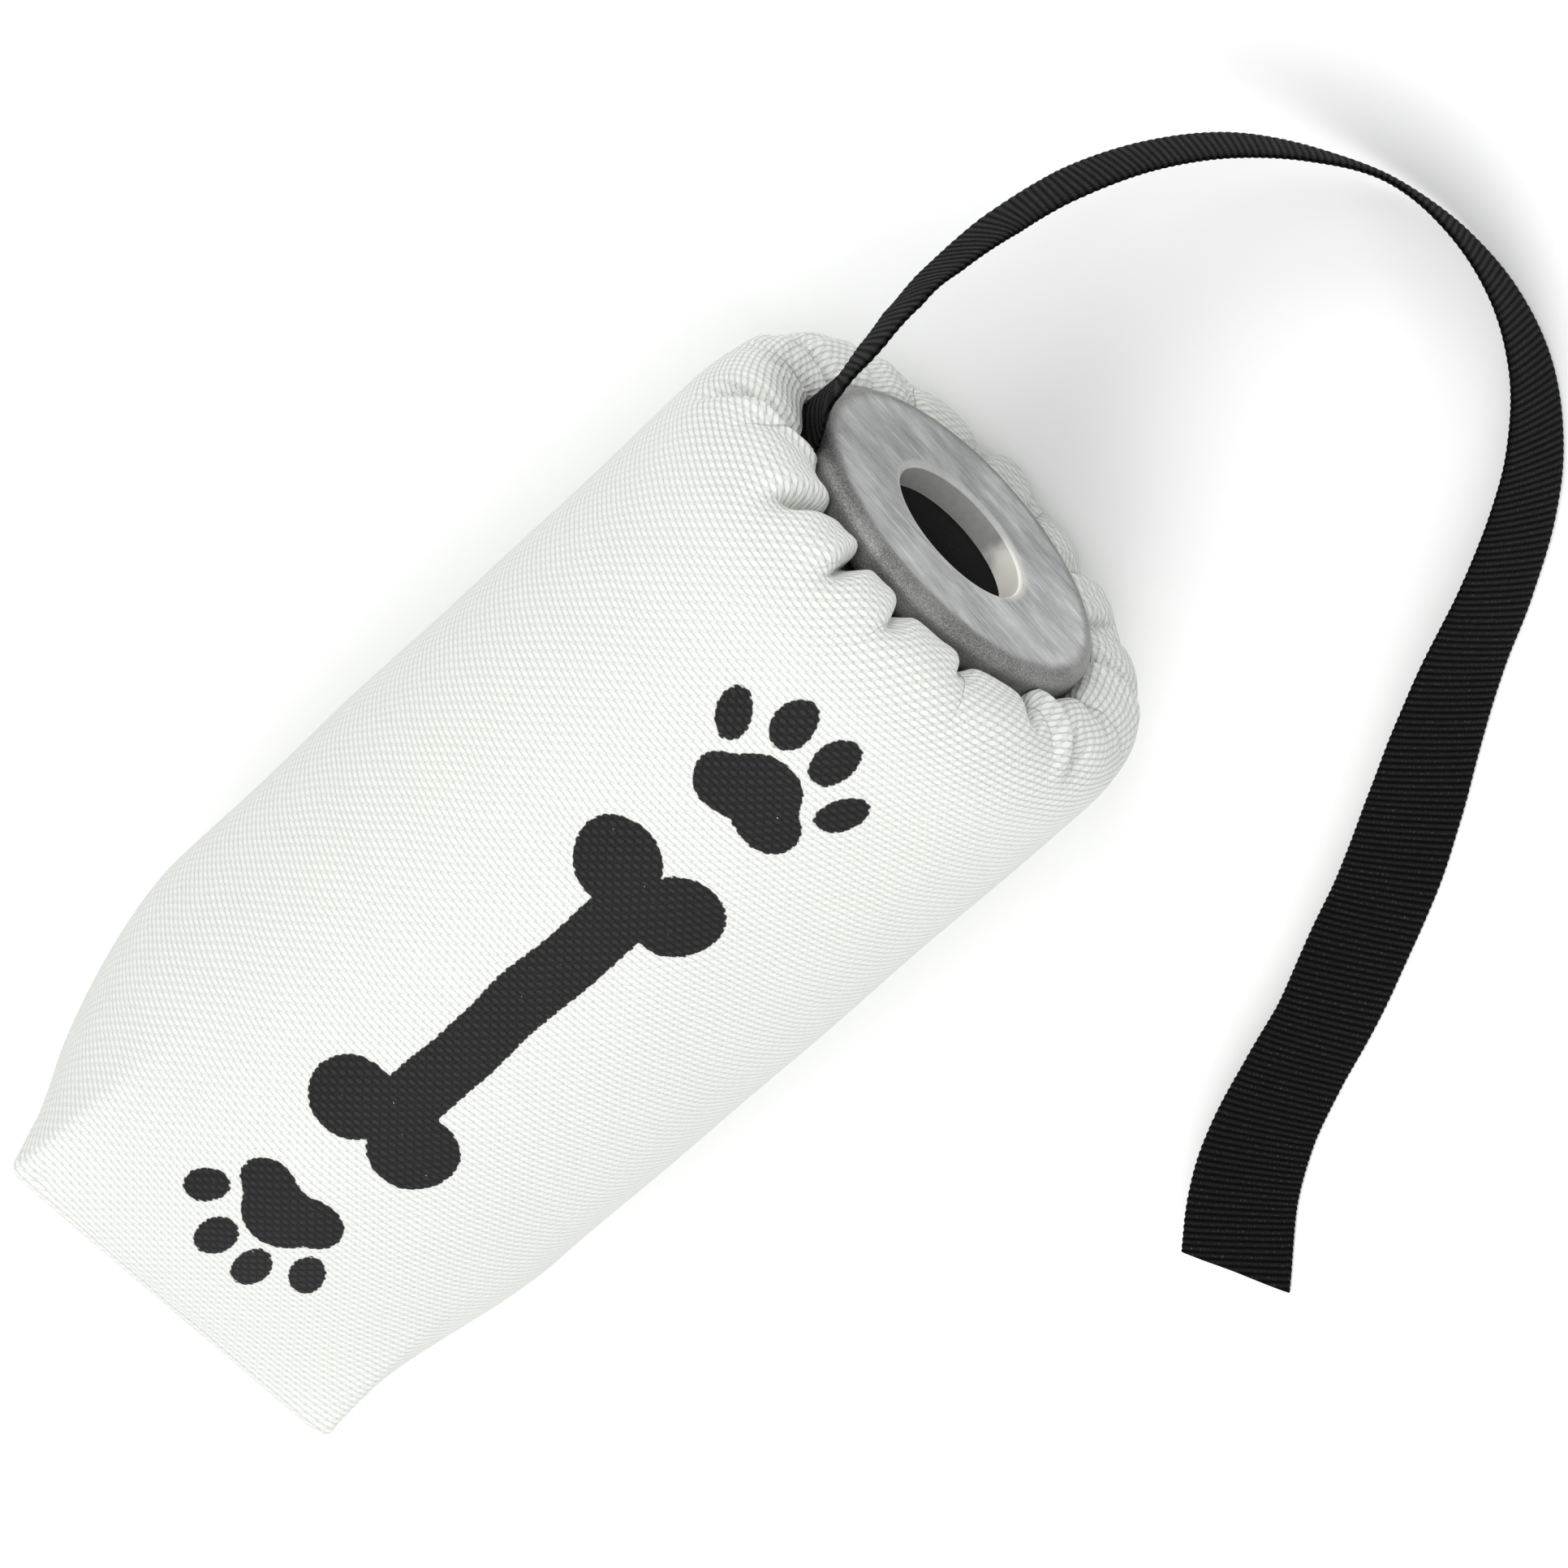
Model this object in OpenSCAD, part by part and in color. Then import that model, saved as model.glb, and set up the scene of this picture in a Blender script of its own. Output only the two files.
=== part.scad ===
// Launcher-type retriever training bumper, lying on its side on a flat surface.
// Millimetres. X runs along the bumper towards the metal flange, Z is up, and the
// origin is under the middle of the body, on the surface that it lies on.

/* [Body] */
// Overall length, boxed end to flange face
body_len = 156; // [140:1:190]
// Diameter of the round stretch
body_d = 78; // [74:1:86]
// Side of the square, boxed far end
box_side = 58.5; // [54:0.5:60]
// Turn of the boxed end about the body's axis, in degrees
box_turn = 15; // [0:1:40]
// Length over which the round body runs into the square end
box_run = 36; // [25:1:45]
// Depth that the soft body flattens where it rests
rest_flat = 1; // [0.6:0.1:1.3]
// Thickness of the cover cloth
cloth_t = 1; // [0.8:0.1:1.2]

/* [Flange and launch tube] */
// Diameter of the end flange
flange_d = 50.8; // [48:0.1:52]
// Thickness of the end flange
flange_t = 5.5; // [4.5:0.1:5.5]
// Bore that slides over the launcher's spigot
bore_d = 22; // [20:0.1:22.4]
// Length of the machined bore wall in the flange
bore_len = 4.3; // [3.5:0.1:5]
// Width of the lead-in chamfer round the bore's mouth
lead_in = 0.6; // [0.3:0.1:0.8]
// Inner diameter of the launch tube
tube_id = 23; // [22.8:0.1:23.6]
// Outer diameter of the launch tube
tube_od = 27; // [26.4:0.1:27.2]
// Length of the launch tube
tube_len = 112; // [90:1:114]

/* [Throw strap] */
// Width of the strap
strap_w = 15.9; // [14:0.1:17]
// Thickness of the strap
strap_t = 1; // [0.8:0.1:1.4]
// Where the strap leaves the flange's rim, in degrees above the horizontal
strap_angle = 21; // [15:1:27]

/* [Hidden] */

$fn = 96;
gap = 0.05;                           // clearance between rigid parts that nest
soft_gap = 0.3;                       // clearance round the soft parts

// Stations along the axis, with X = 0 at the middle of the body
face_x = body_len / 2;                // flange face
flange_back = face_x - flange_t;
hub_end = face_x - 16;                // rear end of the flange's hub
tube_front = face_x - bore_len;
tube_rear = tube_front - tube_len;
washer_t = 1.6;
neck_washer_x = face_x - 20.4;        // rear face of the neck washer
end_washer_t = 2;

// Radii about the axis
body_r = body_d / 2;
axis_h = body_r - rest_flat;          // the body's axis above the surface
flange_r = flange_d / 2;
bore_r = bore_d / 2;
tube_ri = tube_id / 2;
tube_ro = tube_od / 2;
hub_r = 17;
neck_ri = hub_r + 0.1;                // gathered cloth packed on the hub
neck_ro = 20.1;
foam_split_r = 25.5;                  // between the firm sleeve and the soft wrap
foam_r = body_r - cloth_t - soft_gap;

// Local X, Y, Z become the part's Y, Z, X, on the body's axis
module along_axis() { translate([0, 0, axis_h]) rotate([90, 0, 90]) children(); }

// A ring of revolution from one X to another
module ring(inner_r, outer_r, x_from, x_to)
    along_axis() rotate_extrude()
        translate([inner_r, x_from]) square([outer_r - inner_r, x_to - x_from]);

// Points of a quarter arc in a profile of [radius, x], with both ends
function arc(centre, r, from, to, steps = 8) =
    [for (i = [0 : steps]) let (a = from + (to - from) * i / steps)
        [centre[0] + r * cos(a), centre[1] + r * sin(a)]];

// ---- Cloth cover -------------------------------------------------------------

cover_sides = 48;
seam_t = 0.55;                        // seam strips stand this proud of the cloth
seam_w = 8;
end_face_x = -body_len / 2 + seam_t;  // outer face of the boxed end
box_start_x = -body_len / 2 + box_run;

// Outer skin from the straight body to the neck, as [x from the flange face, radius]:
// over the soft roll, down behind the flange and along the hub
mouth_skin = [[-13, body_r], [-6.5, body_r - 0.9], [-3.2, body_r - 3], [-2, body_r - 6.4],
    [-3.4, 29.2], [-6.6, 28.1], [-8, 26], [-8, neck_ri + 1.6], [-9.6, neck_ri], [-16, neck_ri]];
// The same skin's inner face, back from the neck
mouth_lining = [[-16, neck_ro], [-9.8, neck_ro], [-9.1, neck_ro + 1.2], [-9.1, 26.4],
    [-7.6, 29], [-4.4, 30.1], [-3.1, body_r - 6.5], [-4.2, body_r - 3.9], [-7.1, body_r - 1.9],
    [-13, body_r - cloth_t]];

// Radius of a square with soft corners, half-side s, at angle a
function square_r(s, a) =
    let (c = abs(cos(a)), n = abs(sin(a)), p = 9) s / pow(pow(c, p) + pow(n, p), 1 / p);

// One ring of the skin: round for box = 0, square for box = 1, flat where it rests
function skin_ring(x, r, box, half_side, rest) = [for (i = [0 : cover_sides - 1])
    let (a = 360 * i / cover_sides,
        square_part = square_r(half_side, a - box_turn),
        rr = r * (1 - box) + square_part * box)
    [x, rr * cos(a), max(rr * sin(a), -rest) + axis_h]];

// Blend from round to square along the boxed run, slow at first
function box_share(t) = pow(t, 1.6);

// The gathered cloth stands off the hub where the strap's clamped end lies under it
strap_seat_r = hub_r + 0.15 + strap_t + 0.15;
strap_seat_half = 37;                 // degrees either side of the strap's middle
function neck_ring(x, r) = [for (i = [0 : cover_sides - 1])
    let (a = 360 * i / cover_sides,
        off_strap = abs((a - strap_angle + 540) % 360 - 180),
        rr = off_strap < strap_seat_half ? max(r, strap_seat_r) : r)
    [x, rr * cos(a), rr * sin(a) + axis_h]];

function cover_rings() =
    let (steps = 7, inset = cloth_t)
    concat(
        // outer skin of the boxed end and its run into the round body
        [for (i = [0 : steps]) let (t = 1 - i / steps)
            skin_ring(end_face_x + (box_start_x - end_face_x) * i / steps,
                body_r, box_share(t), box_side / 2, axis_h)],
        [for (m = mouth_skin) m[1] < neck_ro ? neck_ring(face_x + m[0], m[1])
            : skin_ring(face_x + m[0], m[1], 0, 1, axis_h)],
        [for (m = mouth_lining) skin_ring(face_x + m[0], m[1], 0, 1, axis_h - inset)],
        [for (i = [0 : steps]) let (t = i / steps)
            skin_ring(box_start_x + (end_face_x + inset - box_start_x) * i / steps,
                body_r - inset, box_share(t), box_side / 2 - inset, axis_h - inset)]);

// Closed solid over a list of rings of equal size, with flat first and last rings
module ring_solid(rings) {
    n = len(rings[0]);
    last = (len(rings) - 1) * n;
    polyhedron(
        points = [for (r = rings) for (p = r) p],
        faces = concat(
            [[for (i = [0 : n - 1]) i]],
            [[for (i = [n - 1 : -1 : 0]) last + i]],
            [for (k = [0 : len(rings) - 2]) for (i = [0 : n - 1])
                let (a = k * n + i, b = k * n + (i + 1) % n) each [[a, a + n, b], [b, a + n, b + n]]]),
        convexity = 6);
}

module cover_shell() {
    color("whitesmoke") ring_solid(cover_rings());
}

hem_x = face_x - 17.3;
hem_ring_r = 18.6;

// Hem round the mouth, with the drawcord's channel through it
module cover_mouth_hem() {
    color("gainsboro") along_axis() translate([0, 0, hem_x]) rotate_extrude()
        translate([hem_ring_r, 0]) difference() {
            circle(r = 1.2, $fn = 24);
            circle(r = 0.7, $fn = 24);
        }
}

module drawcord() {
    color("dimgray") along_axis() translate([0, 0, hem_x]) rotate_extrude()
        translate([hem_ring_r, 0]) circle(r = 0.6, $fn = 24);
}

// Felled seam along the underside of the body
module cover_side_seam() {
    seam_angle = 300;
    sweep = seam_w / body_r * 180 / PI;
    color("white") along_axis() rotate([0, 0, seam_angle]) rotate_extrude(angle = sweep)
        translate([body_r + gap, box_start_x + 2])
            square([seam_t, face_x - 15 - box_start_x - 2]);
}

// A flat strip on the boxed end's face, centred at [across, along] in the square's own directions
module end_strip(across, along, size_across, size_along)
    along_axis() rotate([0, 0, box_turn])
        translate([across - size_across / 2, along - size_along / 2, -body_len / 2])
            cube([size_across, size_along, seam_t - gap]);

end_seam_w = 4;
end_seam_len = box_side - 14;

module cover_end_seam() {
    color("white") end_strip(0, 0, end_seam_w, end_seam_len);
}

// The two short seams that box the corners, across the ends of the middle seam
module cover_corner_seams() {
    color("white") for (side = [-1, 1])
        end_strip(0, side * (box_side / 2 - 4), box_side / 2, end_seam_w);
}

// ---- Foam --------------------------------------------------------------------

foam_front = neck_washer_x - 0.2;
foam_rear = tube_rear + 1;

// Firm sleeve on the launch tube
module foam_sleeve() {
    color("lightgray") ring(tube_ro + 0.1, foam_split_r, foam_rear, foam_front);
}

// Soft outer wrap, which also fills the roll round the flange
module foam_wrap() {
    nose_r = 30.6;
    nose_x = face_x - 10;
    color("silver") along_axis() rotate_extrude() polygon(concat(
        [[foam_split_r + 0.2, foam_rear], [foam_r - 0.8, foam_rear]],
        arc([foam_r - 6.5, nose_x - 3], 5.7, 0, 90),
        [[nose_r, nose_x + 1.5], [27.6, nose_x - 2], [27.6, foam_front + 2],
            [foam_split_r + 0.2, foam_front]]));
}

// Block that fills the boxed end behind the launch tube
module foam_end_pad() {
    pad_side = box_side - 6;
    pad_front = tube_rear - 9;
    pad_rear = end_face_x + cloth_t + 0.4;
    color("lightgray") along_axis() intersection() {
        rotate([0, 0, box_turn]) translate([-pad_side / 2, -pad_side / 2, pad_rear])
            cube([pad_side, pad_side, pad_front - pad_rear]);
        translate([0, 0, pad_rear]) cylinder(r = foam_r - 2.5, h = pad_front - pad_rear);
    }
}

// ---- Metal core --------------------------------------------------------------

pin_r = 2;
pin_x = tube_rear + 10;
screw_r = 2;
screw_x = face_x - 13;
screw_angles = [90, 210, 330];

module launch_tube() {
    color("black") difference() {
        ring(tube_ri, tube_ro, tube_rear, tube_front);
        translate([pin_x, 0, axis_h]) rotate([90, 0, 0])
            cylinder(r = pin_r + gap, h = tube_od + 2, center = true);
    }
}

// Flange, hub and bore in one casting, turned on its face and in its bore
module end_flange() {
    face_round = 2.2;
    back_round = 1.4;
    color("darkgray") difference() {
        along_axis() rotate_extrude() polygon(concat(
            [[bore_r + lead_in, face_x], [bore_r, face_x - lead_in], [bore_r, tube_front],
                [tube_ro + gap, tube_front], [tube_ro + gap, hub_end], [hub_r, hub_end],
                [hub_r, flange_back]],
            arc([flange_r - back_round, flange_back + back_round], back_round, -90, 0),
            arc([flange_r - face_round, face_x - face_round], face_round, 0, 90)));
        for (a = screw_angles)
            along_axis() rotate([0, 0, a]) translate([hub_r - 5, 0, screw_x]) rotate([0, 90, 0])
                cylinder(r = screw_r + gap, h = 10);
    }
}

// Set screws through the hub that hold the tube
module hub_set_screws() {
    color("dimgray") for (a = screw_angles)
        along_axis() rotate([0, 0, a]) translate([tube_ro + gap, 0, screw_x]) rotate([0, 90, 0])
            cylinder(r = screw_r, h = hub_r - tube_ro - 2 * gap);
}

plug_len = 20;
bolt_r = 3;

// Solid plug that closes the tube's far end
module tube_plug() {
    color("gray") difference() {
        ring(bolt_r + gap, tube_ri - gap, tube_rear, tube_rear + plug_len);
        translate([pin_x, 0, axis_h]) rotate([90, 0, 0])
            cylinder(r = pin_r + gap, h = tube_od + 2, center = true);
    }
}

// Cross pin through the tube and its plug, in two halves either side of the bolt's hole
module plug_pin() {
    pin_end = tube_ro - 0.3;
    pin_len = pin_end - bolt_r - 1;
    color("gainsboro") for (side = [-1, 1])
        translate([pin_x, side * (pin_end - pin_len / 2), axis_h]) rotate([90, 0, 0])
            cylinder(r = pin_r, h = pin_len, center = true);
}

// Plate that keeps the foam on the tube
module end_washer() {
    color("silver") ring(bolt_r + gap, 24, tube_rear - end_washer_t, tube_rear);
}

module end_bolt() {
    head_t = 4;
    across_corners = 11.5;
    color("gainsboro") along_axis() translate([0, 0, tube_rear - end_washer_t]) {
        translate([0, 0, -head_t]) cylinder(d = across_corners, h = head_t, $fn = 6);
        cylinder(r = bolt_r, h = end_washer_t + plug_len - 2);
    }
}

module neck_washer() {
    color("silver") ring(tube_ro + gap, 24.5, neck_washer_x, neck_washer_x + washer_t);
}

// ---- Neck clamp --------------------------------------------------------------

band_ri = neck_ro + 0.1;
band_t = 0.8;
band_x = [face_x - 15.9, face_x - 9.9];
band_w = band_x[1] - band_x[0];
screw_side = 200;                     // where the clamp's screw sits, in degrees
housing_lift = 3.9;
clamp_screw_r = 1.1;

// Band that grips the gathered mouth on the flange's hub
module clamp_band() {
    color("silver") ring(band_ri, band_ri + band_t, band_x[0], band_x[1]);
}

// Puts children at the clamp's screw: X outwards, Y along the screw
module at_clamp_screw()
    along_axis() rotate([0, 0, screw_side])
        translate([band_ri + band_t + gap, 0, (band_x[0] + band_x[1]) / 2]) children();

module clamp_screw_housing() {
    color("lightgray") at_clamp_screw() difference() {
        translate([0.25, -4, -band_w / 2]) cube([housing_lift - 0.5, 8, band_w]);
        translate([housing_lift / 2, 0, 0]) rotate([90, 0, 0])
            cylinder(r = clamp_screw_r + gap, h = 20, center = true);
    }
}

module clamp_screw() {
    color("gray") at_clamp_screw() translate([housing_lift / 2, 0, 0]) rotate([90, 0, 0]) {
        translate([0, 0, -6]) cylinder(r = clamp_screw_r, h = 10.1);
        translate([0, 0, 4.1]) cylinder(r = 1.8, h = 2.2, $fn = 6);
    }
}

// ---- Throw strap -------------------------------------------------------------

root_x = face_x - 0.8;                // end of the clamped part, where the strap starts to bend

// Clamped end of the strap: along the hub, out behind the flange and round its rim
module strap_anchor() {
    inner = hub_r + 0.15;
    rim = flange_r + 0.2;
    back = flange_back - 0.15;
    color("black") intersection() {
        along_axis() rotate_extrude() polygon([[inner, band_x[0]], [inner + strap_t, band_x[0]],
            [inner + strap_t, back - strap_t], [rim + strap_t, back - strap_t],
            [rim + strap_t, root_x], [rim, root_x], [rim, back], [inner, back]]);
        along_axis() rotate([0, 0, strap_angle])
            translate([10, -strap_w / 2, band_x[0] - 1]) cube([30, strap_w, 20]);
    }
}

// Height of the strap's middle when its lower edge rests, rolled by an angle from upright
function rest_z(roll) = strap_w / 2 * cos(roll) + strap_t / 2 * abs(sin(roll)) + 0.1;

// Route of the free strap from the flange's rim: x, y, roll from upright, lift above resting
strap_route = [
    [80.4, 24.6, 13, 39.4], [82, 24.9, 11, 39.3], [85, 25.5, 12, 38.1], [88.5, 26.1, 14, 36.5],
    [93.5, 27, 15, 33.2], [99, 27.5, 14, 28.6], [107.5, 27, 15, 22], [117, 25, 12, 17.3],
    [126, 21, 6, 12], [134, 15, 0, 7.5], [140.5, 7, -8, 4], [145.5, -2.5, -15, 1.5],
    [147.5, -13, -11, 0.5], [146.5, -24, -3, 0], [142.5, -34, 7, 0], [135.5, -42.5, 17, 0],
    [127, -49, 25, 0], [117, -54.5, 30, 0], [107, -59, 35, 0], [97.5, -64, 41, 0],
    [88, -69.5, 48, 0], [78, -75, 53, 0], [68, -79.5, 55, 0], [58, -84, 54, 0],
    [48, -87.5, 56, 0], [38, -91.5, 60, 0], [29, -96.8, 67, 0], [19.6, -104.8, 75, 0]];
strap_knots = [for (p = strap_route) [p[0], p[1], rest_z(p[2]) + p[3], p[2]]];
steps_per_knot = 2;

// Catmull-Rom curve through a list of rows, at position u from 0 to the last row
function knot(rows, i) = rows[max(0, min(len(rows) - 1, i))];
function curve(rows, u) =
    let (i = min(floor(u), len(rows) - 2), t = u - i,
        a = knot(rows, i - 1), b = knot(rows, i), c = knot(rows, i + 1), d = knot(rows, i + 2))
    (2 * b + (c - a) * t + (2 * a - 5 * b + 4 * c - d) * t * t + (3 * b - a - 3 * c + d) * t * t * t) / 2;

function unit(v) = v / norm(v);
function xyz(v) = [v[0], v[1], v[2]];
function heading(rows, u) =
    let (e = 0.01, last = len(rows) - 1)
    unit(xyz(curve(rows, min(last, u + e))) - xyz(curve(rows, max(0, u - e))));

// Cross-section of the strap: its middle, and the directions across it and through it
function strap_ring(rows, u) =
    let (p = curve(rows, u), t = heading(rows, u),
        up = unit([0, 0, 1] - t[2] * t), side = cross(t, up), roll = p[3],
        across = cos(roll) * up + sin(roll) * side, through = cross(t, across),
        w = strap_w / 2, h = strap_t / 2, b = 0.35,
        outline = [[w, h - b], [w - b, h], [b - w, h], [-w, h - b],
            [-w, b - h], [b - w, -h], [w - b, -h], [w, b - h]])
    [for (o = outline) xyz(p) + o[0] * across + o[1] * through];

module throw_strap() {
    last = len(strap_knots) - 1;
    color([0.08, 0.08, 0.08])
        ring_solid([for (i = [0 : last * steps_per_knot]) strap_ring(strap_knots, i / steps_per_knot)]);
}

cover_shell();
cover_mouth_hem();
cover_side_seam();
cover_end_seam();
cover_corner_seams();
foam_sleeve();
foam_wrap();
foam_end_pad();
launch_tube();
end_flange();
hub_set_screws();
tube_plug();
plug_pin();
end_washer();
end_bolt();
neck_washer();
clamp_band();
clamp_screw_housing();
clamp_screw();
drawcord();
strap_anchor();
throw_strap();
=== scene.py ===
"""Looks of a launcher-type training bumper: its cloth cover, strap, foam, metal and light.

Lengths are in millimetres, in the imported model's frame, and become metres where a mesh is made.
X runs along the bumper towards its flange, and Z is up.
"""

import math

import bpy
import numpy as np
from mathutils import Matrix, Vector
from mathutils.bvhtree import BVHTree


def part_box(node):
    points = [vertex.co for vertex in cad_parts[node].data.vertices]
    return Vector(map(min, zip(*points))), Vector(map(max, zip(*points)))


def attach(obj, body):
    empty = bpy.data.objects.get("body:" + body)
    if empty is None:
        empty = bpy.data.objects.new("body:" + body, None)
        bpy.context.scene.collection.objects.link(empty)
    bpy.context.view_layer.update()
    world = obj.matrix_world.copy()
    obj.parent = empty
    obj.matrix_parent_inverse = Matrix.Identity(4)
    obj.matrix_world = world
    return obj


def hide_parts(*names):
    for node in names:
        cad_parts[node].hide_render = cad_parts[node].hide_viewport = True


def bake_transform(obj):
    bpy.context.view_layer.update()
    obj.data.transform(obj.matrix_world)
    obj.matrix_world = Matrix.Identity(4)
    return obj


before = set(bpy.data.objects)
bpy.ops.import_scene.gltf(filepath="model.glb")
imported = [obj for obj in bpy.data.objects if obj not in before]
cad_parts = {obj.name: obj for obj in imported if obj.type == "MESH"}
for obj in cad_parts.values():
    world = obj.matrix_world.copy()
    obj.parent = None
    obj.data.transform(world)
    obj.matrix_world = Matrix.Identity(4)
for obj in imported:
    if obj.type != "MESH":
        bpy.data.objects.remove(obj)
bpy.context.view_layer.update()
MM = 0.001

# ---- Places and sizes, read from the frame ----


def box_mm(node):
    """Lowest and highest corner of a CAD node, in millimetres."""
    low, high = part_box(node)
    return np.array(low) / MM, np.array(high) / MM


SHELL_LOW, SHELL_HIGH = box_mm("cover_shell")
FLANGE_LOW, FLANGE_HIGH = box_mm("end_flange")
BODY_R = (SHELL_HIGH[1] - SHELL_LOW[1]) / 2
AXIS_H = (FLANGE_LOW[2] + FLANGE_HIGH[2]) / 2
FACE_X = FLANGE_HIGH[0]
FLANGE_R = (FLANGE_HIGH[2] - FLANGE_LOW[2]) / 2
FLANGE_T = 5.5
FLANGE_BACK = FACE_X - FLANGE_T
BORE_R = 11.0

# The cover: its boxed end, the round body from BOX_START_X to ROLL_X, and the gathered mouth
END_X = SHELL_LOW[0]
BOX_HALF = 29.9
BOX_TURN = 15.0
BOX_CORNERS = [BOX_TURN + turn for turn in (45, 135, 225, 315)]
BOX_START_X = END_X + 35.5
EDGE_R = 1.7
ROLL_X = FACE_X - 13
NECK_R = 17.15
NECK_OUTER_R = 20.0
CLOTH_T = 0.9

# The cloth's own coordinates are u, round the body, and v, along it from the boxed end's edge
FLOAT_PITCH = 0.785
ROW_PITCH = 0.93
PRINT_U = BODY_R * math.radians(102.5)
PRINT_V = 78.0
ROLL_V = ROLL_X - END_X + EDGE_R * (math.pi / 2 - 1)

# The strap's webbing
STRAP_W = 15.9
STRAP_T = 1.0
RIB = 1.0
STRAP_ANGLE = 21.0


# ---- Small tools ----


def smooth(low, high, t):
    """Smooth step from 0 at low to 1 at high; high may be the smaller."""
    s = np.clip((np.asarray(t, float) - low) / (high - low), 0, 1)
    return s * s * (3 - 2 * s)


def wrap(degrees):
    """An angle brought between -180 and 180."""
    return (np.asarray(degrees, float) + 540) % 360 - 180


def waves(*coordinates, seed, count=10, finest=6.0):
    """Smooth, seeded waves over coordinates in millimetres, from about -1 to 1."""
    rng = np.random.default_rng(seed)
    total = 0.0
    for _ in range(count):
        direction = rng.normal(size=len(coordinates))
        direction /= np.linalg.norm(direction)
        length = finest * 2 ** (2.5 * rng.random())
        phase = rng.random() * 2 * math.pi
        at = sum(d * c for d, c in zip(direction, coordinates))
        total = total + np.sin(2 * math.pi * at / length + phase)
    return total / math.sqrt(count) / 1.5


def catmull(rows, at):
    """Catmull-Rom curve through rows at each position in at, which counts rows."""
    rows = np.asarray(rows, float)
    i = np.clip(np.floor(at).astype(int), 0, len(rows) - 2)
    t = (at - i)[:, None]
    a, b, c, d = (rows[np.clip(i + k, 0, len(rows) - 1)] for k in (-1, 0, 1, 2))
    return (2 * b + (c - a) * t + (2 * a - 5 * b + 4 * c - d) * t**2 + (3 * b - a - 3 * c + d) * t**3) / 2


def unit(vectors):
    """Vectors along the last axis, made one long."""
    return vectors / np.linalg.norm(vectors, axis=-1, keepdims=True)


def lengths_along(points):
    """Distance along a line of points, from its first point to each of them."""
    return np.concatenate([[0], np.cumsum(np.linalg.norm(np.diff(points, axis=0), axis=1))])


def along_line(at, along, rows):
    """Rows known at distances along a line, worked out at other distances."""
    return np.stack([np.interp(at, along, column) for column in rows.T], axis=-1)


def spaced(shares, fine, density):
    """Values among fine ones at shares from 0 to 1, closer together where density is higher."""
    total = np.concatenate([[0], np.cumsum((density[1:] + density[:-1]) / 2)])
    return np.interp(shares * total[-1], total, fine)


def make_mesh(name, points, faces, uv=None):
    """A mesh object from points, with one (u, v) for each, all in millimetres."""
    mesh = bpy.data.meshes.new(name)
    mesh.from_pydata((np.asarray(points) * MM).tolist(), [], faces)
    if uv is not None:
        layer = mesh.uv_layers.new(name="cloth")
        corner = np.zeros(len(mesh.loops), np.int32)
        mesh.loops.foreach_get("vertex_index", corner)
        layer.data.foreach_set("uv", np.asarray(uv, np.float32)[corner].ravel())
    mesh.shade_smooth()
    piece = bpy.data.objects.new(name, mesh)
    bpy.context.scene.collection.objects.link(piece)
    return piece


class Form:
    """One piece made of several closed parts."""

    def __init__(self):
        self.points, self.faces, self.uv = [], [], []

    def add(self, points, faces, uv):
        """Adds a part, whose faces count its own points, with one (u, v) for each point."""
        start = len(self.points)
        self.points.extend(points)
        self.faces.extend(tuple(start + i for i in face) for face in faces)
        self.uv.extend(uv)

    def make(self, name):
        return make_mesh(name, self.points, self.faces, self.uv)


def round_axis(x, radius, angle, height=AXIS_H):
    """Points at an x, a radius and an angle, in radians, round an axis at a height."""
    x, radius, angle = np.broadcast_arrays(x, radius, angle)
    return np.stack([x, radius * np.cos(angle), radius * np.sin(angle) + height], axis=-1)


def directions_at(angle):
    """The directions out from the axis and round it, at an angle in radians."""
    c, s = math.cos(angle), math.sin(angle)
    return np.array([0, c, s]), np.array([0, -s, c])


def grid_faces(rows, columns, looped=False):
    """Quads between rings of points; looped also joins the last ring to the first."""
    return [
        (r * columns + c, r * columns + (c + 1) % columns,
         (r + 1) % rows * columns + (c + 1) % columns, (r + 1) % rows * columns + c)
        for r in range(rows if looped else rows - 1)
        for c in range(columns)
    ]


def capped_grid(rows, columns):
    """Quads between rings of points, and a face that closes each end."""
    first = tuple(range(columns))
    last = tuple((rows - 1) * columns + c for c in first)
    return grid_faces(rows, columns) + [first[::-1], last]


def finish_piece(piece, body, material, node):
    """Puts a piece on its body, with its finish and the node that it stands for."""
    if body:
        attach(piece, body)
    piece.data.materials.append(material)
    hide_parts(node)


# ---- Camera ----


def add_camera():
    """The camera, 65 degrees above the flange end, rolled so that the bumper lies diagonally."""
    elevation = math.radians(65.43)
    roll = math.radians(228.6)
    target = Vector((33.8, -9.7, 38.0)) * MM
    distance = 828.5 * MM
    back = Vector((math.cos(elevation), 0, math.sin(elevation)))
    level = Vector((0, 1, 0))
    upright = Vector((-math.sin(elevation), 0, math.cos(elevation)))
    right = math.cos(roll) * level + math.sin(roll) * upright
    up = -math.sin(roll) * level + math.cos(roll) * upright
    camera = bpy.data.objects.new("camera", bpy.data.cameras.new("camera"))
    camera.data.lens = 139.75
    camera.data.sensor_width = 36
    camera.data.clip_start = 0.05
    camera.data.clip_end = 20
    place = target + back * distance
    camera.matrix_world = Matrix.Translation(place) @ Matrix((right, up, back)).transposed().to_4x4()
    bpy.context.scene.collection.objects.link(camera)
    bpy.context.scene.camera = camera


# ---- Materials ----


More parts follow.
